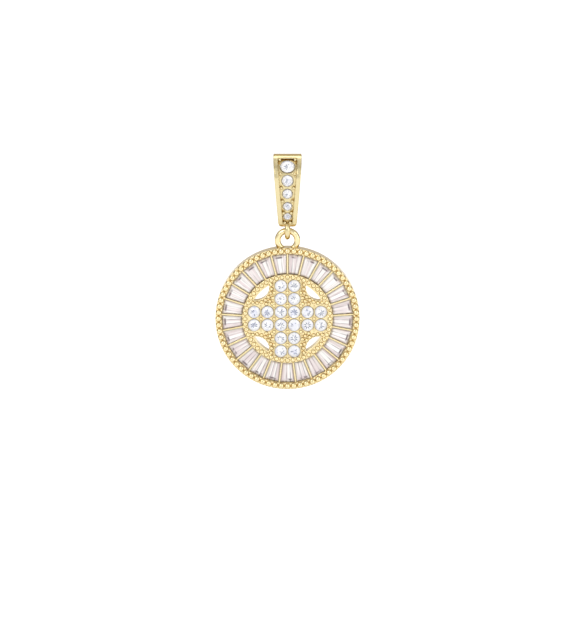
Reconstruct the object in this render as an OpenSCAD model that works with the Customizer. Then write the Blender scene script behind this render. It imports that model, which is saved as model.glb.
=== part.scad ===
// Medallion charm: a round pendant with a ring of tapered baguette stones round a cross
// of small round stones, hanging by its ring from the eye of a tapered, stone-set bail.
// Millimetres, +Z up, front towards -Y. The origin is where a chain bears on the inside
// of the bail's top.

/* [Medallion] */
// Radius of the medallion over its beaded edge
medallion_r = 8.05; // [7.95:0.05:8.3]
// Depth of the back of the frame behind the pocket plane
frame_back = 0.85; // [0.8:0.05:1.2]
// Height of the outer and inner rims above the pocket plane
rim_top = 0.62; // [0.55:0.01:0.75]
// Width of the outer rim
rim_w = 0.68; // [0.64:0.01:0.7]
// Height of the deck and of the bars between the baguettes
deck_top = 0.42; // [0.38:0.01:0.5]
// Radius of a bead on the outer rim
outer_bead_r = 0.35; // [0.28:0.01:0.35]
// Number of beads on the outer rim
outer_beads = 68; // [60:1:70]
// Radius of a bead on the inner rim
inner_bead_r = 0.27; // [0.24:0.01:0.27]
// Number of beads on the inner rim
inner_beads = 48; // [44:4:48]

/* [Baguettes] */
// Number of tapered baguettes in the ring
baguettes = 25; // [25:1:25]
// Radius at which the baguettes begin
baguette_in_r = 5.08; // [5.05:0.01:5.2]
// Length of a baguette
baguette_len = 2.19; // [2.0:0.01:2.19]
// Width of the metal bar between two baguettes
bar_w = 0.18; // [0.16:0.01:0.24]
// Gap between a stone and its seat
stone_gap = 0.03; // [0.02:0.005:0.04]

/* [Cross] */
// Diameter of a round stone in the cross
cross_stone_d = 1.36; // [1.2:0.02:1.36]
// Distance between the columns of the cross
column_pitch = 1.49; // [1.47:0.01:1.49]
// Distance between the rows of the cross
row_pitch = 1.49; // [1.47:0.01:1.49]
// Height of the cross plate above the pocket plane
plate_top = 0.5; // [0.4:0.05:0.55]
// Depth of the back of the cross plate behind the pocket plane
plate_back = 0.5; // [0.4:0.05:0.8]

/* [Bail] */
// Height of the bail
bail_h = 8.2; // [8.15:0.05:8.3]
// Metal above the chain's seat
bail_top = 0.7; // [0.65:0.05:0.8]
// Width of the raised rail on each side of the channel
rail_w = 0.5; // [0.45:0.01:0.55]
// Depth of the channel that holds the stones
channel_d = 0.36; // [0.28:0.01:0.36]
// Radius of the hollow's top, where the chain runs
hollow_r = 0.85; // [0.75:0.05:0.85]

/* [Rings] */
// Radius of the wire of the bail's eye
eye_wire_r = 0.31; // [0.27:0.01:0.32]
// Radius of the hole in the bail's eye
eye_hole_r = 0.47; // [0.45:0.01:0.48]
// Radius of the wire of the medallion's ring
ring_wire_r = 0.34; // [0.3:0.01:0.34]
// Radius of the hole in the medallion's ring
ring_hole_r = 0.75; // [0.73:0.01:0.8]
// Running gap between the ring and the eye that it hangs in
hang_gap = 0.05; // [0.04:0.01:0.08]
// Depth of the medallion's ring behind the pocket plane
ring_back = 0.2; // [0.1:0.01:0.3]

/* [Hidden] */
$fn = 48;
// Small overrun of a cut past a face
eps = 0.01;
// Depth by which a piece runs into the metal it stands on
overlap = 0.1;
// Length of a cut that runs right through
through = 12;
gold = "gold";
clear_stone = "azure";
blush_stone = "mistyrose";

// Radii of the medallion's rims
rim_in_r = medallion_r - rim_w;
inner_rim_w = 0.6;
inner_rim_out_r = baguette_in_r - stone_gap;
disc_r = inner_rim_out_r - inner_rim_w;
// Depth of the beads' centres below the top of a rim
bead_sink = 0.06;

// Baguette cut, in the stone's own frame: the girdle's underside is at z = 0
step = 360 / baguettes;
baguette_out_r = baguette_in_r + baguette_len;
// Height of that underside above the pocket plane
girdle_z = 0.24;
// Steps of the cut above its keel: side inset, end inset, height
BAGUETTE_STEPS = [
    [0.29, 0.24, -0.3],
    [0, 0, 0],
    [0, 0, 0.06],
    [0.08, 0.1, 0.18],
    [0.17, 0.22, 0.27]
];
// Slope of the two facets that meet in the keel, and how far the keel stops short of each end
keel_slope = 0.7;
keel_in_inset = 0.5;
keel_out_inset = 0.45;
// The pocket's ledge is below the girdle, where the stone has narrowed
pocket_floor = girdle_z - 0.18;
ledge_w = 0.12;

// Round cut, as shares of the stone's diameter
table_share = 0.56;
crown_share = 0.16;
girdle_share = 0.03;
pavilion_share = 0.43;
star_share = 0.77;
lower_half_share = 0.24;
// Seat of a round stone, as shares of the stone's diameter
shoulder_share = 0.06;
drill_share = 0.3;

// Cross: its two middle columns and two middle rows of stones
LINES = [-2.5, -1.5, -0.5, 0.5, 1.5, 2.5];
CROSS_PLACES = [
    for (c = LINES, r = LINES)
        if (min(abs(c), abs(r)) < 1) [c * column_pitch, r * row_pitch]
];
cross_girdle_z = plate_top + 0.03;
cross_drill = 2;
rib_w = 0.1;
rib_h = 0.15;
junction_bead_r = 0.21;
// The four pierced leaves between the arms of the cross
leaf_outer_r = 4.28;
leaf_inner_r = 1.44;
leaf_centre = 4.94;
leaf_bead_r = 0.22;
// Rows of beads beside each leaf: distance outside the leaf's inner arc, half sweep, number
LEAF_BEADS = [
    [0.27, 58, 8],
    [0.7, 13, 3],
    [1.1, 0, 1]
];

// Bail, side view: arcs of the front from the top to where it stands upright. Radius, sweep
BAIL_CROWN = [
    [1.45, 42],
    [20, 3],
    [1.9, 45]
];
bail_top_y = 0.1;
bail_back_r = 1.45;
bail_foot_r = 0.85;
foot = [0, bail_top - bail_h + bail_foot_r];
// One more arc runs on to the foot, which is round
crown_end = arc_centre(BAIL_CROWN, 2) - [BAIL_CROWN[2][0], 0];
run_h = crown_end[1] - foot[1];
run_r = (pow(bail_foot_r, 2) - pow(crown_end[0], 2) - pow(run_h, 2))
    / (2 * (crown_end[0] + bail_foot_r));
run_sweep = asin(run_h / (run_r - bail_foot_r));
BAIL_FRONT = concat(BAIL_CROWN, [[run_r, run_sweep], [bail_foot_r, 90 - run_sweep]]);
FRONT_STEPS = [14, 3, 16, 16, 10];
// Circles that the bail's hollow runs round: y, z, radius
HOLLOW = [
    [0, -hollow_r, hollow_r],
    [-0.4, -2.1, 0.85],
    [-0.12, -6.1, 0.3]
];
// Bail, front view: depth below the top, half width
BAIL_WIDTHS = [
    [0, 1.5],
    [0.1, 1.57],
    [0.8, 1.57],
    [1.6, 1.52],
    [2.4, 1.46],
    [4.2, 1.32],
    [5.4, 1.22],
    [6.6, 1.12],
    [7.6, 1.04],
    [7.86, 0.98],
    [8.06, 0.87],
    [8.2, 0.7]
];
channel_from = 0.38;
channel_to = 7.78;
// Stones of the bail: depth of the centre below the top, diameter
BAIL_STONES = [
    [0.96, 1.6],
    [2.72, 1.26],
    [4.27, 1.1],
    [5.8, 1],
    [7.06, 0.9]
];
// Pairs of prongs in the bail's channel: depth below the top
PRONG_ROWS = [0.45, 1.88, 3.5, 5.04, 6.46, 7.66];
prong_r = 0.15;
prong_head_r = 0.18;
prong_h = 0.29;
// Distance of a prong's axis from the wall of the channel
prong_in = 0.22;
bail_drill = 1;

// Where the medallion hangs: the eye and the ring each run a little into the metal they are on
eye_sink = 0.08;
eye_z = bail_top - bail_h - eye_hole_r + eye_sink;
ring_sink = 0.04;
ring_r = ring_hole_r + ring_wire_r;
ring_centre = medallion_r - ring_sink + ring_hole_r;
wire_drop = eye_hole_r - ring_wire_r - hang_gap;
medallion_z = eye_z - wire_drop - ring_r - ring_centre;

function baguette_name(i) = str("baguette_", i < 9 ? "0" : "", i + 1);
function bail_stone_name(i) = str("bail_stone_", i + 1);

// Point on a circle
function polar(r, a) = [r * cos(a), r * sin(a)];

// Points along an arc from angle a to angle b, in n steps, from point number first on
function arc(centre, r, a, b, n, first = 0) =
    [for (i = [first : n]) centre + polar(r, a + (b - a) * i / n)];

// Sum of the first n entries of a list
function total(list, n) = n == 0 ? 0 : list[n - 1] + total(list, n - 1);

// Linear value of a two-column table at x
function look_up(rows, x, i = 1) =
    i == len(rows) - 1 || x < rows[i][0]
        ? rows[i - 1][1] + (rows[i][1] - rows[i - 1][1])
            * (x - rows[i - 1][0]) / (rows[i][0] - rows[i - 1][0])
        : look_up(rows, x, i + 1);

// Tilt above the horizon of the front's normal where arc i of a run of arcs begins
function arc_tilt(arcs, i) = 90 - total([for (a = arcs) a[1]], i);

// Centre of arc i of a run of arcs down the bail's front, in the side view's y and z
function arc_centre(arcs, i) =
    i == 0
        ? [bail_top_y, bail_top - arcs[0][0]]
        : arc_centre(arcs, i - 1) + (arcs[i][0] - arcs[i - 1][0])
            * [cos(arc_tilt(arcs, i)), -sin(arc_tilt(arcs, i))];

// Arc of the bail's front that a height falls in
function front_arc(z, i = 0) =
    i == len(BAIL_FRONT) - 1
    || z > arc_centre(BAIL_FRONT, i)[1] + BAIL_FRONT[i][0] * sin(arc_tilt(BAIL_FRONT, i + 1))
        ? i
        : front_arc(z, i + 1);

// Tilt of the bail's front normal at a height
function tilt_at(z) =
    let (i = front_arc(z)) asin((z - arc_centre(BAIL_FRONT, i)[1]) / BAIL_FRONT[i][0]);

// Point of the bail's front at a height, in y and z
function front_at(z) =
    let (i = front_arc(z), t = tilt_at(z))
        arc_centre(BAIL_FRONT, i) + BAIL_FRONT[i][0] * [-cos(t), sin(t)];

// Direction in which the straight side of a belt touches circle a and the next one, b
function touching(a, b) =
    let (span = [b[0] - a[0], b[1] - a[1]])
    atan2(span[1], span[0]) - acos((a[2] - b[2]) / norm(span));

// Side view of the bail, drawn in by an inset
function bail_outline(inset) =
    let (
        top = [bail_top_y, bail_top - bail_back_r],
        lean = touching(concat(foot, bail_foot_r), concat(top, bail_back_r))
    )
    concat(
        [for (i = [0 : len(BAIL_FRONT) - 1]) each arc(
            arc_centre(BAIL_FRONT, i), BAIL_FRONT[i][0] - inset,
            180 - arc_tilt(BAIL_FRONT, i), 180 - arc_tilt(BAIL_FRONT, i + 1),
            FRONT_STEPS[i], 1)],
        arc(foot, bail_foot_r - inset, -90, lean, 10, 1),
        arc(top, bail_back_r - inset, lean, 90, 18)
    );

// Outline of a belt round circles that are listed anticlockwise, each as centre and radius
function belt(circles) =
    let (n = len(circles))
    [for (i = [0 : n - 1])
        let (
            c = circles[i],
            from = touching(circles[(i + n - 1) % n], c),
            sweep = (touching(c, circles[(i + 1) % n]) - from + 720) % 360
        )
        each arc([c[0], c[1]], c[2], from, from + sweep, ceil(sweep / 8))];

// Front view of the bail between two depths, narrowed by an inset
function front_outline(from, to, inset) =
    let (depths = concat(
        [from],
        [for (row = BAIL_WIDTHS) if (row[0] > from && row[0] < to) row[0]],
        [to]
    ))
    concat(
        [for (d = depths) [look_up(BAIL_WIDTHS, d) - inset, bail_top - d]],
        [for (i = [len(depths) - 1 : -1 : 0])
            [inset - look_up(BAIL_WIDTHS, depths[i]), bail_top - depths[i]]]
    );

// Half width of a baguette at a distance from its middle, outward along its length
function baguette_half(y) =
    ((baguette_in_r + baguette_out_r) / 2 + y) * tan(step / 2) - bar_w / 2 - stone_gap;

// Corners of one level of a baguette: side inset, end inset, height
function baguette_level(row) =
    let (
        end = baguette_len / 2 - row[1],
        inner = baguette_half(-end) - row[0],
        outer = baguette_half(end) - row[0]
    )
    [
        [-inner, -end, row[2]],
        [inner, -end, row[2]],
        [outer, end, row[2]],
        [-outer, end, row[2]]
    ];

// Point of a baguette's keel, where the two lowest side facets meet
function keel_point(y) =
    let (lowest = BAGUETTE_STEPS[0])
    [0, y, lowest[2] - keel_slope * (baguette_half(y) - lowest[0])];

// Faces of a stack of levels with four corners each, on a keel whose two ends come last
function baguette_faces(levels) =
    let (keel = 4 * levels)
    concat(
        [[0, 1, keel], [1, 2, keel + 1, keel], [2, 3, keel + 1], [3, 0, keel, keel + 1]],
        [for (l = [0 : levels - 2], i = [0 : 3])
            [4 * l + i, 4 * l + 4 + i, 4 * l + 4 + (i + 1) % 4, 4 * l + (i + 1) % 4]],
        [[for (i = [1 : 4]) keel - i]]
    );

// Runs what follows in a side view, drawn in y and z, across the width
module across(w) {
    rotate([90, 0, 90])
        linear_extrude(w, center = true)
            children();
}

// Runs what follows in a front view, drawn in x and z, from the front to y = 0
module from_front() {
    rotate([90, 0, 0])
        linear_extrude(through)
            children();
}

// Places a piece at a depth below the top of the bail, on the channel's floor, facing out
module on_channel(depth) {
    z = bail_top - depth;
    t = tilt_at(z);
    p = front_at(z) + channel_d * [cos(t), -sin(t)];
    translate([0, p[0], p[1]])
        rotate([90 - t, 0, 0])
            children();
}

// Places a piece of the medallion, which is drawn lying with its front up
module in_medallion() {
    translate([0, -ring_back, medallion_z])
        rotate([90, 0, 0])
            children();
}

// Places a piece at baguette i, with +Y outward
module at_baguette(i) {
    rotate([0, 0, -(i + 0.5) * step])
        translate([0, (baguette_in_r + baguette_out_r) / 2, 0])
            children();
}

// Round stone of 57 facets. Its girdle's underside is at z = 0
module round_stone(d) {
    r = d / 2;
    table_r = r * table_share;
    top = d * (crown_share + girdle_share);
    crown_slope = d * crown_share / (r - table_r);
    star_r = r * star_share;
    low = -d * pavilion_share;
    half_r = r * lower_half_share;
    main_slope = -low / r;
    function ring(radius, z, from) =
        [for (i = [0 : 7]) concat(polar(radius, from + 45 * i), z)];
    points = concat(
        ring(table_r, top, 0),
        ring(star_r, top - (star_r * cos(22.5) - table_r) * crown_slope, 22.5),
        [for (i = [0 : 15]) concat(polar(r, 22.5 * i), d * girdle_share)],
        [for (i = [0 : 15]) concat(polar(r, 22.5 * i), 0)],
        ring(half_r, low + half_r * cos(22.5) * main_slope, 22.5),
        [[0, 0, low]]
    );
    polyhedron(points, concat(
        [[7, 6, 5, 4, 3, 2, 1, 0]],
        [for (i = [0 : 7]) let (j = (i + 1) % 8, g = 16 + 2 * i, h = 16 + (2 * i + 15) % 16)
            each [
                [i, j, 8 + i],
                [i, 8 + i, g, 8 + (i + 7) % 8],
                [8 + i, g + 1, g],
                [8 + (i + 7) % 8, g, h]
            ]],
        [for (i = [0 : 15]) [16 + i, 16 + (i + 1) % 16, 32 + (i + 1) % 16, 32 + i]],
        [for (i = [0 : 7]) let (l = 48 + i, m = 48 + (i + 7) % 8, g = 32 + 2 * i)
            each [
                [l, m, g],
                [56, m, l],
                [l, g, g + 1],
                [m, 32 + (2 * i + 15) % 16, g]
            ]]
    ));
}

// Seat of a round stone: a cylinder round the girdle, a cone under it and a drilled hole
module round_seat(d, drill) {
    r = d / 2 + stone_gap;
    drill_r = d * drill_share;
    cone_h = (r - drill_r) * 2 * pavilion_share;
    shoulder = -d * shoulder_share;
    translate([0, 0, shoulder])
        cylinder(r = r, h = d);
    translate([0, 0, shoulder - cone_h])
        cylinder(r1 = drill_r, r2 = r, h = cone_h);
    translate([0, 0, -drill])
        cylinder(r = drill_r, h = drill);
}

// Tapered baguette i of the ring
module baguette(i) {
    points = concat(
        [for (row = BAGUETTE_STEPS) each baguette_level(row)],
        [keel_point(keel_in_inset - baguette_len / 2), keel_point(baguette_len / 2 - keel_out_inset)]
    );
    color(blush_stone)
        in_medallion()
            at_baguette(i)
                translate([0, 0, girdle_z])
                    polyhedron(points, baguette_faces(len(BAGUETTE_STEPS)));
}

// Outline of a baguette, drawn in by an inset
module baguette_outline(inset) {
    polygon([for (p = baguette_level([inset, inset, 0])) [p[0], p[1]]]);
}

// Pocket that one baguette sits in, with a window through the back inside a narrow ledge
module baguette_pocket() {
    translate([0, 0, pocket_floor])
        linear_extrude(through)
            baguette_outline(-stone_gap);
    translate([0, 0, -through / 2])
        linear_extrude(through)
            baguette_outline(ledge_w);
}

// Ring of the frame between two radii and two heights
module band(inner, outer, low, high) {
    translate([0, 0, low])
        difference() {
            cylinder(r = outer, h = high - low);
            translate([0, 0, -eps])
                cylinder(r = inner, h = high - low + 2 * eps);
        }
}

// Circle of beads, sunk in the top of a rim by a little more than half
module beads(radius, r, count) {
    for (i = [0 : count - 1])
        rotate([0, 0, 90 + i * 360 / count])
            translate([radius, 0, rim_top - bead_sink])
                sphere(r = r);
}

// Places a piece between two arms of the cross, with +X outward
module at_leaf(i) {
    rotate([0, 0, 45 + 90 * i])
        children();
}

// One pierced leaf between two arms of the cross
module leaf() {
    translate([0, 0, -through / 2])
        linear_extrude(through)
            intersection() {
                circle(r = leaf_outer_r);
                translate([leaf_centre, 0])
                    circle(r = leaf_inner_r);
            }
}

// Beads beside one leaf, in arcs that follow its inner edge
module leaf_beads() {
    for (row = LEAF_BEADS, i = [0 : row[2] - 1])
        translate([leaf_centre, 0, plate_top])
            rotate([0, 0, 180 + row[1] * (2 * i / max(row[2] - 1, 1) - 1)])
                translate([leaf_inner_r + row[0], 0, 0])
                    sphere(r = leaf_bead_r);
}

// Bars between the columns of the cross, and a bead where four stones meet
module cross_ribs() {
    for (c = [-2 : 2]) {
        half = abs(c) < 2 ? 3 : 1;
        translate([c * column_pitch - rib_w / 2, -half * row_pitch, plate_top - overlap])
            cube([rib_w, 2 * half * row_pitch, rib_h + overlap]);
        for (r = [1 - half : half - 1])
            translate([c * column_pitch, r * row_pitch, plate_top + rib_h - junction_bead_r / 4])
                sphere(r = junction_bead_r);
    }
}

// Ring on top of the medallion, which hangs in the eye of the bail
module hanging_ring() {
    translate([0, ring_centre, -ring_back])
        rotate_extrude()
            translate([ring_r, 0])
                circle(r = ring_wire_r);
}

// Cast frame of the medallion, with its ring
module medallion_frame() {
    color(gold)
        in_medallion() {
            difference() {
                union() {
                    band(leaf_outer_r, medallion_r, -frame_back, deck_top);
                    band(rim_in_r, medallion_r, 0, rim_top);
                    band(disc_r, inner_rim_out_r, 0, rim_top);
                    translate([0, 0, -plate_back])
                        cylinder(r = disc_r + overlap, h = plate_back + plate_top);
                    cross_ribs();
                    hanging_ring();
                }
                for (i = [0 : baguettes - 1])
                    at_baguette(i)
                        baguette_pocket();
                for (p = CROSS_PLACES)
                    translate([p[0], p[1], cross_girdle_z])
                        round_seat(cross_stone_d, cross_drill);
                for (i = [0 : 3])
                    at_leaf(i)
                        leaf();
            }
            beads(medallion_r - outer_bead_r, outer_bead_r, outer_beads);
            beads(disc_r + inner_rim_w / 2, inner_bead_r, inner_beads);
            for (i = [0 : 3])
                at_leaf(i)
                    leaf_beads();
        }
}

// Round stones of the cross
module cross_stones() {
    color(clear_stone)
        in_medallion()
            for (p = CROSS_PLACES)
                translate([p[0], p[1], cross_girdle_z])
                    round_stone(cross_stone_d);
}

// Round stone i of the bail
module bail_stone(i) {
    color(clear_stone)
        on_channel(BAIL_STONES[i][0])
            round_stone(BAIL_STONES[i][1]);
}

// Channel down the bail's front, between its rails
module bail_channel() {
    difference() {
        from_front()
            polygon(front_outline(channel_from, channel_to, rail_w));
        across(through)
            polygon(bail_outline(channel_d));
    }
}

// Prongs on both sides of the channel, above, between and below the stones
module bail_prongs() {
    for (depth = PRONG_ROWS, side = [-1, 1])
        on_channel(depth)
            translate([side * (look_up(BAIL_WIDTHS, depth) - rail_w - prong_in), 0, 0]) {
                translate([0, 0, -overlap])
                    cylinder(r = prong_r, h = prong_h + overlap);
                translate([0, 0, prong_h])
                    sphere(r = prong_head_r);
            }
}

// Tapered bail with its channel, prongs and the eye under it
module bail() {
    color(gold) {
        difference() {
            intersection() {
                across(through)
                    polygon(bail_outline(0));
                translate([0, through / 2, 0])
                    from_front()
                        polygon(front_outline(0, bail_h + overlap, 0));
            }
            across(through)
                polygon(belt(HOLLOW));
            bail_channel();
            for (stone = BAIL_STONES)
                on_channel(stone[0])
                    round_seat(stone[1], bail_drill);
        }
        bail_prongs();
        translate([0, 0, eye_z])
            rotate([0, 90, 0])
                rotate_extrude()
                    translate([eye_hole_r + eye_wire_r, 0])
                        circle(r = eye_wire_r);
    }
}

bail();
medallion_frame();
cross_stones();
for (i = [0 : len(BAIL_STONES) - 1])
    bail_stone(i);
for (i = [0 : baguettes - 1])
    baguette(i);
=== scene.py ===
import math

import bpy
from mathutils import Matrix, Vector


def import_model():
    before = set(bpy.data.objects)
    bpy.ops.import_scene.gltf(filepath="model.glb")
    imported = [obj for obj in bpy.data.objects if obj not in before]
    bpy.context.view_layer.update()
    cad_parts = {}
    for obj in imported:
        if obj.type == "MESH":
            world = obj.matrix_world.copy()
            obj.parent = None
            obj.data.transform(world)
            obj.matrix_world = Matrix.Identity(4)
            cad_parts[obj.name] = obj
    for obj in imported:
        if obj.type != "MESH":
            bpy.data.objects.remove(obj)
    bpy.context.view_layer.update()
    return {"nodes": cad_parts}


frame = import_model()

MM = 0.001
NODES = frame["nodes"]

# Middle of the medallion, pitch of the cross's stones and number of baguettes, as in the CAD
MEDALLION_Z = -17.82 * MM
CROSS_PITCH = 1.49 * MM
BAGUETTES = 25
# Distance from the medallion's middle to the painted dark reflections at the baguettes' outer
# ends
END_REFLECTION_OUT = 6.97 * MM

# How far the rounding of edges reaches in the shading
BAIL_EDGE_R = 0.24 * MM
FRAME_EDGE_R = 0.08 * MM
STONE_EDGE_R = 0.035 * MM
# How near other metal is in a recess
RECESS_REACH = 0.35 * MM
# Rays that find the edges and the recesses
EDGE_RAYS = 6
RECESS_RAYS = 8

# Scales of the patterns. The higher the number, the finer the pattern.
SHINE_PATCHES = 700.0
GOLD_WEAR = 2200.0
POLISHING_MARKS = 30000.0
CAST_PITS = 3800.0
STONE_WEAR = 2600.0
STONE_SPECKS = 3400.0
LINE_BREAKS = 900.0
END_REFLECTION_BREAKS = 1500.0
FLOOR_PATCHES = 12.0
WORLD_PATCHES = 2.6

# How fast the facets' painted light and shade change over the object, and from one way of facing
# to another
FACET_DRIFT = 260.0
FACET_STEP = 2.6
# Arms of the painted dark star of reflections in a round stone, and how far the stars are turned
# at random
STAR_ARMS = 8.0
SINGLE_TURNS = 6.3
CROSS_TURNS = 25.0
# Painted reflections of a baguette: how far its bands of light and shade differ from stone to
# stone, how far its dark lines shift to one side, and where they run. The last two are shares of
# the pitch from stone to stone.
BAND_CHANGE = 40.0
LINE_SHIFT = 0.12
LINE_PLACE = 0.14


def rgb(r, g, b):
    """sRGB values from 0 to 1, as a linear colour."""
    def line(c):
        return c / 12.92 if c <= 0.04045 else ((c + 0.055) / 1.055) ** 2.4
    return (line(r), line(g), line(b), 1.0)


# Darker and lighter patches of the polished gold, duller in colour on the bail's wide rails as
# painted shade
FRAME_SHINE = (rgb(0.895, 0.83, 0.645), rgb(0.925, 0.865, 0.69))
BAIL_SHADED_SHINE = (rgb(0.83, 0.775, 0.60), rgb(0.865, 0.81, 0.64))
# Painted shade: ochre where the gold tilts away from the view
TILT_SHADE_GOLD = rgb(0.79, 0.675, 0.41)
# Painted shade in recesses, where other metal is near
RECESS_SHADE_GOLD = rgb(0.775, 0.655, 0.39)

# Looks of the stones, their facets' light and shade painted into the colour. from and to are the
# noise levels of a shaded and a lit facet, edge is how strong the painted shade line on the
# facets' edges is, glass is the share of transmission and bend the IOR. The darkest colour is
# the painted dark reflection.
WHITE_LOOK = {
    "pale": rgb(1.0, 0.998, 0.995), "shaded_facet": rgb(0.90, 0.91, 0.97), "from": 0.36, "to": 0.46,
    "line": rgb(0.90, 0.90, 0.94), "edge": 0.3, "dark_reflection": rgb(0.28, 0.34, 0.48),
    "glass": 0.3, "bend": 1.9}
BLUSH_LOOK = {
    "pale": rgb(1.0, 0.99, 0.975), "shaded_facet": rgb(0.90, 0.84, 0.84), "from": 0.30, "to": 0.44,
    "line": rgb(0.90, 0.84, 0.82), "edge": 0.4, "dark_reflection": rgb(0.40, 0.31, 0.34),
    "glass": 0.3, "bend": 1.9}

# Studio round the charm. Rays that come out of a stone or off a dull surface see it brighter.
STUDIO_WHITE = rgb(1.0, 1.0, 1.0)
STUDIO_PATCH = rgb(0.84, 0.83, 0.82)
STUDIO_BEHIND = rgb(0.58, 0.53, 0.46)
THROUGH_STONE = (2.2, 2.2, 2.2, 1.0)
OFF_DULL = (1.04, 1.04, 1.04, 1.0)

# Height of the floor, half its width, and the two shades of its patches
FLOOR_Z = -0.0299
FLOOR_HALF = 6.0
FLOOR_LIGHT = rgb(0.985, 0.985, 0.985)
FLOOR_DARK = rgb(0.975, 0.975, 0.975)

# Name, place, width and height of each light, and its power in watts
LIGHTS = [
    ("key", (-0.25, -0.35, 0.30), (0.25, 0.25), 0.52),
    ("fill", (0.35, -0.25, 0.10), (0.15, 0.30), 0.27),
    ("top", (0.0, 0.10, 0.40), (0.40, 0.20), 0.5),
    ("glint_left", (-0.16, -0.36, 0.20), (0.05, 0.05), 0.05),
    ("glint_right", (0.20, -0.34, 0.12), (0.04, 0.04), 0.03)]
# Point that the lights aim at
LIT_POINT = (0.0, 0.0, -0.013)

# Camera: the point in the middle of the view, and the camera's distance and angle above level
VIEW_MIDDLE = Vector((0.056, 0.0, -17.22)) * MM
CAMERA_AWAY = 0.5
CAMERA_RISE = math.radians(12)
SENSOR_WIDTH = 36.0
# Width of the picture in pixels, and millimetres that one pixel shows at the charm
PICTURE_WIDTH = 576
PIXEL = 0.1117
VIEW_WIDTH = PICTURE_WIDTH * PIXEL * MM


# Node helpers

class Nodes:
    """Short hand for building one node tree."""

    def __init__(self, tree):
        self.tree = tree

    def add(self, kind, **inputs):
        """New node. Names with a capital are its inputs, the others its settings."""
        node = self.tree.nodes.new(kind)
        for key, value in inputs.items():
            self.put(node, key, value)
        return node

    def put(self, node, key, value):
        """Sets an input, or links it if the value is another node's output."""
        if not isinstance(key, int) and not key[0].isupper():
            setattr(node, key, value)
            return
        socket = node.inputs[key]
        if isinstance(value, bpy.types.NodeSocket):
            self.tree.links.new(value, socket)
        else:
            socket.default_value = value

    def math(self, operation, a, b=0.5, clamp=False):
        node = self.add("ShaderNodeMath", operation=operation, use_clamp=clamp)
        self.put(node, 0, a)
        self.put(node, 1, b)
        return node.outputs[0]

    def ramp(self, value, low, high, to_low=0.0, to_high=1.0):
        """Maps low to high on to_low to to_high, and holds the ends."""
        node = self.add("ShaderNodeMapRange", clamp=True)
        self.put(node, "Value", value)
        for key, number in (("From Min", low), ("From Max", high),
                            ("To Min", to_low), ("To Max", to_high)):
            self.put(node, key, number)
        return node.outputs[0]

    def mix(self, factor, a, b):
        """Colour a at factor 0, and colour b at factor 1."""
        node = self.add("ShaderNodeMix", data_type="RGBA", blend_type="MIX")
        self.put(node, 0, factor)
        self.put(node, 6, a)
        self.put(node, 7, b)
        return node.outputs[2]

    def split(self, vector):
        return self.add("ShaderNodeSeparateXYZ", Vector=vector).outputs

    def size(self, a, b):
        """Length of the vector with the parts a and b."""
        squares = self.math("ADD", self.math("MULTIPLY", a, a), self.math("MULTIPLY", b, b))
        return self.math("SQRT", squares)

    def noise(self, vector, scale, detail=2.0, rough=0.5):
        node = self.add("ShaderNodeTexNoise")
        self.put(node, "Vector", vector)
        self.put(node, "Scale", scale)
        self.put(node, "Detail", detail)
        self.put(node, "Roughness", rough)
        return node.outputs["Fac"]

    def rounded(self, radius):
        """Normal of a surface whose edges are rounded."""
        return self.add("ShaderNodeBevel", samples=EDGE_RAYS, Radius=radius).outputs[0]

    def bump(self, height, strength, depth, normal):
        node = self.add("ShaderNodeBump", Strength=strength, Distance=depth)
        self.put(node, "Height", height)
        self.put(node, "Normal", normal)
        return node.outputs[0]


def new_material(name):
    """A material, the helper for its tree, and its Principled shader."""
    mat = bpy.data.materials.new(name)
    mat.use_nodes = True
    return mat, Nodes(mat.node_tree), mat.node_tree.nodes["Principled BSDF"]


# Gold

def gold_colour(n, place, normal, open_share, shine):
    """Patches of polished gold, with painted ochre shade where it tilts away from the view and
    in recesses.
    """
    polished = n.mix(n.noise(place, SHINE_PATCHES, 3.0), shine[0], shine[1])
    tilt = n.add("ShaderNodeLayerWeight", Blend=0.5, Normal=normal).outputs["Facing"]
    polished = n.mix(n.ramp(tilt, 0.18, 0.60, 0.0, 0.9), polished, TILT_SHADE_GOLD)
    return n.mix(open_share, RECESS_SHADE_GOLD, polished)


def gold_relief(n, place, normal):
    """Fine upright polishing marks, and the shallow pits of a cast surface."""
    stretch = n.add("ShaderNodeMapping", Vector=place, Scale=(1.0, 1.0, 0.22))
    marks = n.noise(stretch.outputs[0], POLISHING_MARKS, 3.0, 0.6)
    brushed = n.bump(marks, 0.10, 0.004 * MM, normal)
    return n.bump(n.noise(place, CAST_PITS, 2.0), 0.22, 0.02 * MM, brushed)


def gold_material(name, shine, edge_r):
    """Polished light yellow gold, a little duller where it is worn and in recesses, with painted
    shade in the recesses and where it tilts from the view.
    """
    mat, n, shader = new_material(name)
    place = n.add("ShaderNodeTexCoord").outputs["Object"]
    recess = n.add("ShaderNodeAmbientOcclusion", samples=RECESS_RAYS, Distance=RECESS_REACH)
    # Share of open metal: recesses get painted shade, and a rougher surface
    open_share = n.ramp(recess.outputs["AO"], 0.15, 0.85)
    normal = n.rounded(edge_r)
    n.put(shader, "Base Color", gold_colour(n, place, normal, open_share, shine))
    n.put(shader, "Metallic", 1.0)
    worn = n.ramp(n.noise(place, GOLD_WEAR, 4.0), 0.35, 0.75, 0.10, 0.24)
    dull = n.ramp(open_share, 0.0, 1.0, 0.12, 0.0)
    n.put(shader, "Roughness", n.math("ADD", worn, dull, clamp=True))
    n.put(shader, "Normal", gold_relief(n, place, normal))
    return mat


# Stones

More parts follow.
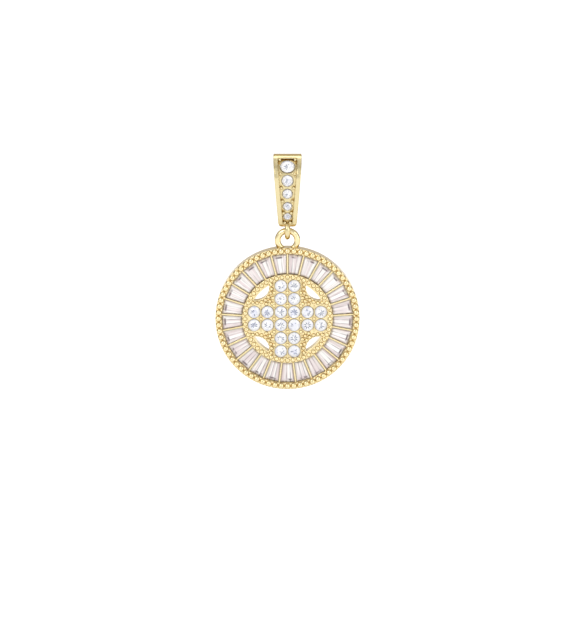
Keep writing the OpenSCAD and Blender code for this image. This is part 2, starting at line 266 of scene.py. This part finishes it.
def painted_facet_light(n, spots, look):
    """Painted light and shade of the facets, a share from 0 to 1 that differs from facet to
    facet, and slowly over the object.
    """
    spot = n.add("ShaderNodeVectorMath", operation="SCALE", Scale=FACET_DRIFT)
    n.put(spot, 0, spots["Object"])
    facet = n.add("ShaderNodeVectorMath", operation="MULTIPLY_ADD")
    n.put(facet, 0, spots["Normal"])
    n.put(facet, 1, (FACET_STEP, FACET_STEP, FACET_STEP))
    n.put(facet, 2, spot.outputs[0])
    return n.ramp(n.noise(facet.outputs[0], 1.0, 1.0), look["from"], look["to"])


def painted_edge_line(n, look):
    """Strength of the painted shade line on the edges between facets."""
    same = n.add("ShaderNodeVectorMath", operation="DOT_PRODUCT")
    n.put(same, 0, n.rounded(STONE_EDGE_R))
    n.put(same, 1, n.add("ShaderNodeNewGeometry").outputs["True Normal"])
    return n.ramp(same.outputs["Value"], 0.90, 0.995, look["edge"], 0.0)


def stone_material(name, look, pattern):
    """Cut stone, its facets' light and shade painted into its colour. The pattern gives the
    share of pale colour and the share of painted dark reflection.
    """
    mat, n, shader = new_material(name)
    spots = n.add("ShaderNodeTexCoord").outputs
    place = spots["Object"]
    pale, dark_reflection = pattern(n, place)
    pale = n.math("MULTIPLY", painted_facet_light(n, spots, look), pale)
    tint = n.mix(pale, look["shaded_facet"], look["pale"])
    tint = n.mix(painted_edge_line(n, look), tint, look["line"])
    n.put(shader, "Base Color", n.mix(dark_reflection, tint, look["dark_reflection"]))
    shader.inputs["IOR"].default_value = look["bend"]
    shader.inputs["Transmission Weight"].default_value = look["glass"]
    wear = n.ramp(n.noise(place, STONE_WEAR, 3.0), 0.4, 0.8, 0.0, 0.05)
    n.put(shader, "Roughness", wear)
    return mat


def star(n, place, x, z, seed):
    """Pale share and painted dark reflection share of a round stone.

    x and z run from -0.5 to 0.5, across the stone or across its cell of the cross's grid.
    The painted dark reflection is a broken star in the middle, and twice as many painted pale
    rays run outwards.
    """
    turn = n.math("MULTIPLY", n.math("ARCTAN2", z, x), STAR_ARMS)
    arms = n.ramp(n.math("COSINE", n.math("ADD", turn, seed)), -0.6, 0.3)
    middle = n.ramp(n.size(x, z), 0.18, 0.32, 1.0, 0.0)
    specks = n.ramp(n.noise(place, STONE_SPECKS, 1.0), 0.45, 0.54)
    dark_reflection = n.math("MULTIPLY", n.math("MULTIPLY", middle, arms), specks)
    rays = n.math("COSINE", n.math("MULTIPLY", turn, 2.0))
    return n.ramp(rays, -0.7, 0.0, 0.7, 1.0), dark_reflection


def single_star(n, place):
    """Painted star of reflections of a stone that is an object of its own."""
    box = n.split(n.add("ShaderNodeTexCoord").outputs["Generated"])
    seed = n.math("MULTIPLY", n.add("ShaderNodeObjectInfo").outputs["Random"], SINGLE_TURNS)
    x = n.math("SUBTRACT", box[0], 0.5)
    z = n.math("SUBTRACT", box[2], 0.5)
    return star(n, place, x, z, seed)


def cross_star(n, place):
    """Painted stars of reflections of the stones of the cross, which stand in a square grid."""
    at = n.split(place)
    across = n.math("DIVIDE", at[0], CROSS_PITCH)
    up = n.math("DIVIDE", n.math("SUBTRACT", at[2], MEDALLION_Z), CROSS_PITCH)
    cell = n.add("ShaderNodeCombineXYZ", X=n.math("FLOOR", across), Y=n.math("FLOOR", up))
    seed = n.math("MULTIPLY", n.noise(cell.outputs[0], 1.7, 0.0), CROSS_TURNS)
    x = n.math("SUBTRACT", n.math("FRACT", across), 0.5)
    z = n.math("SUBTRACT", n.math("FRACT", up), 0.5)
    return star(n, place, x, z, seed)


def baguette_place(n, place):
    """Distance from the medallion's middle, and share of the pitch across, from -0.5 to 0.5."""
    at = n.split(place)
    up = n.math("SUBTRACT", at[2], MEDALLION_Z)
    turn = n.math("DIVIDE", n.math("ARCTAN2", at[0], up), 2.0 * math.pi / BAGUETTES)
    share = n.math("SUBTRACT", n.math("FRACT", n.math("ADD", turn, 2.0 * BAGUETTES)), 0.5)
    return n.size(at[0], up), share


def long_lines(n, place, side):
    """Two thin broken lines of painted dark reflection along a baguette."""
    from_line = n.math("ABSOLUTE", n.math("SUBTRACT", side, LINE_PLACE))
    strength = n.ramp(n.noise(place, LINE_BREAKS, 1.0), 0.35, 0.6, 0.2, 0.65)
    return n.math("MULTIPLY", n.ramp(from_line, 0.015, 0.05, 1.0, 0.0), strength)


def end_reflection(n, place, out, side):
    """Broken painted dark reflection at a baguette's outer end."""
    from_end = n.math("ABSOLUTE", n.math("SUBTRACT", out, END_REFLECTION_OUT))
    end = n.ramp(from_end, 0.05 * MM, 0.14 * MM, 1.0, 0.0)
    middle = n.ramp(side, 0.16, 0.28, 1.0, 0.0)
    broken = n.ramp(n.noise(place, END_REFLECTION_BREAKS, 2.0), 0.36, 0.50)
    return n.math("MULTIPLY", n.math("MULTIPLY", end, middle), broken)


def baguette_reflections(n, place):
    """Painted reflections of a baguette: pale share in lengthwise bands, and painted dark
    reflection share in thin lines and at the outer end.
    """
    out, share = baguette_place(n, place)
    own = n.add("ShaderNodeObjectInfo").outputs["Random"]
    band = n.add("ShaderNodeCombineXYZ", X=share, Y=n.math("MULTIPLY", own, BAND_CHANGE))
    pale = n.ramp(n.noise(band.outputs[0], 6.0, 1.0), 0.40, 0.54)
    shift = n.math("MULTIPLY", n.math("SUBTRACT", own, 0.5), LINE_SHIFT)
    side = n.math("ABSOLUTE", n.math("ADD", share, shift))
    lines = long_lines(n, place, side)
    return pale, n.math("MAXIMUM", lines, end_reflection(n, place, out, side))


def dress(names, mat):
    """Gives CAD nodes a material."""
    for name in names:
        obj = NODES[name]
        if not obj.material_slots:
            obj.data.materials.append(mat)
        for slot in obj.material_slots:
            slot.material = mat


def starting(word):
    """Names of the nodes that start with a word."""
    return [name for name in NODES if name.startswith(word)]


# Floor, light and camera

def floor_material():
    mat, n, shader = new_material("floor")
    place = n.add("ShaderNodeTexCoord").outputs["Object"]
    patches = n.noise(place, FLOOR_PATCHES, 2.0)
    n.put(shader, "Base Color", n.mix(patches, FLOOR_LIGHT, FLOOR_DARK))
    shader.inputs["Roughness"].default_value = 0.9
    shader.inputs["Specular IOR Level"].default_value = 0.1
    return mat


def floor():
    corners = [(x * FLOOR_HALF, y * FLOOR_HALF, FLOOR_Z)
               for x, y in ((-1, -1), (1, -1), (1, 1), (-1, 1))]
    mesh = bpy.data.meshes.new("floor")
    mesh.from_pydata(corners, [], [(0, 1, 2, 3)])
    mesh.update()
    mesh.materials.append(floor_material())
    obj = bpy.data.objects.new("floor", mesh)
    bpy.context.scene.collection.objects.link(obj)


def world():
    """Bright studio, darker behind the object and in patches, which the metal reflects."""
    studio = bpy.data.worlds.new("studio")
    bpy.context.scene.world = studio
    studio.use_nodes = True
    n = Nodes(studio.node_tree)
    way = n.add("ShaderNodeTexCoord").outputs["Generated"]
    depth = n.split(way)[1]
    height = n.split(way)[2]

    patches = n.ramp(n.noise(way, WORLD_PATCHES, 1.0), 0.42, 0.56)
    patches = n.math("MAXIMUM", patches, n.ramp(height, 0.05, 0.35, 1.0, 0.0))
    bright = n.mix(patches, STUDIO_PATCH, STUDIO_WHITE)
    low = n.ramp(height, 0.25, 0.60, 1.0, 0.15)
    behind = n.math("MULTIPLY", n.ramp(depth, -0.20, 0.30), low)
    behind = n.math("MULTIPLY", behind, n.ramp(depth, 0.85, 0.96, 1.0, 0.2))
    colour = n.mix(behind, bright, STUDIO_BEHIND)

    path = n.add("ShaderNodeLightPath").outputs
    colour = n.mix(path["Is Transmission Ray"], colour, THROUGH_STONE)
    colour = n.mix(path["Is Diffuse Ray"], colour, OFF_DULL)
    back = studio.node_tree.nodes["Background"]
    n.put(back, "Color", n.mix(path["Is Camera Ray"], colour, STUDIO_WHITE))
    back.inputs["Strength"].default_value = 1.0


def area(name, place, size, power):
    """Area light that points at the charm."""
    data = bpy.data.lights.new(name, "AREA")
    data.shape = "RECTANGLE"
    data.size = size[0]
    data.size_y = size[1]
    data.energy = power
    obj = bpy.data.objects.new(name, data)
    bpy.context.scene.collection.objects.link(obj)
    obj.location = place
    way = Vector(LIT_POINT) - Vector(place)
    obj.rotation_euler = way.to_track_quat("-Z", "Y").to_euler()


def camera():
    data = bpy.data.cameras.new("camera")
    data.sensor_fit = "HORIZONTAL"
    data.sensor_width = SENSOR_WIDTH
    data.lens = SENSOR_WIDTH * CAMERA_AWAY / VIEW_WIDTH
    data.clip_start = 0.01
    data.clip_end = 50.0
    obj = bpy.data.objects.new("camera", data)
    bpy.context.scene.collection.objects.link(obj)
    way = Vector((0.0, -math.cos(CAMERA_RISE), math.sin(CAMERA_RISE)))
    obj.location = VIEW_MIDDLE + way * CAMERA_AWAY
    obj.rotation_euler = (VIEW_MIDDLE - obj.location).to_track_quat("-Z", "Y").to_euler()
    bpy.context.scene.camera = obj


dress(["bail"], gold_material("bail_gold", BAIL_SHADED_SHINE, BAIL_EDGE_R))
dress(["medallion_frame"], gold_material("gold", FRAME_SHINE, FRAME_EDGE_R))
dress(starting("bail_stone"), stone_material("clear_stone", WHITE_LOOK, single_star))
dress(["cross_stones"], stone_material("cross_stone", WHITE_LOOK, cross_star))
dress(starting("baguette"), stone_material("blush_stone", BLUSH_LOOK, baguette_reflections))

floor()
world()
for light in LIGHTS:
    area(*light)
camera()

scene = bpy.context.scene
scene.view_settings.view_transform = "Standard"
scene.cycles.max_bounces = 16
scene.cycles.transmission_bounces = 14
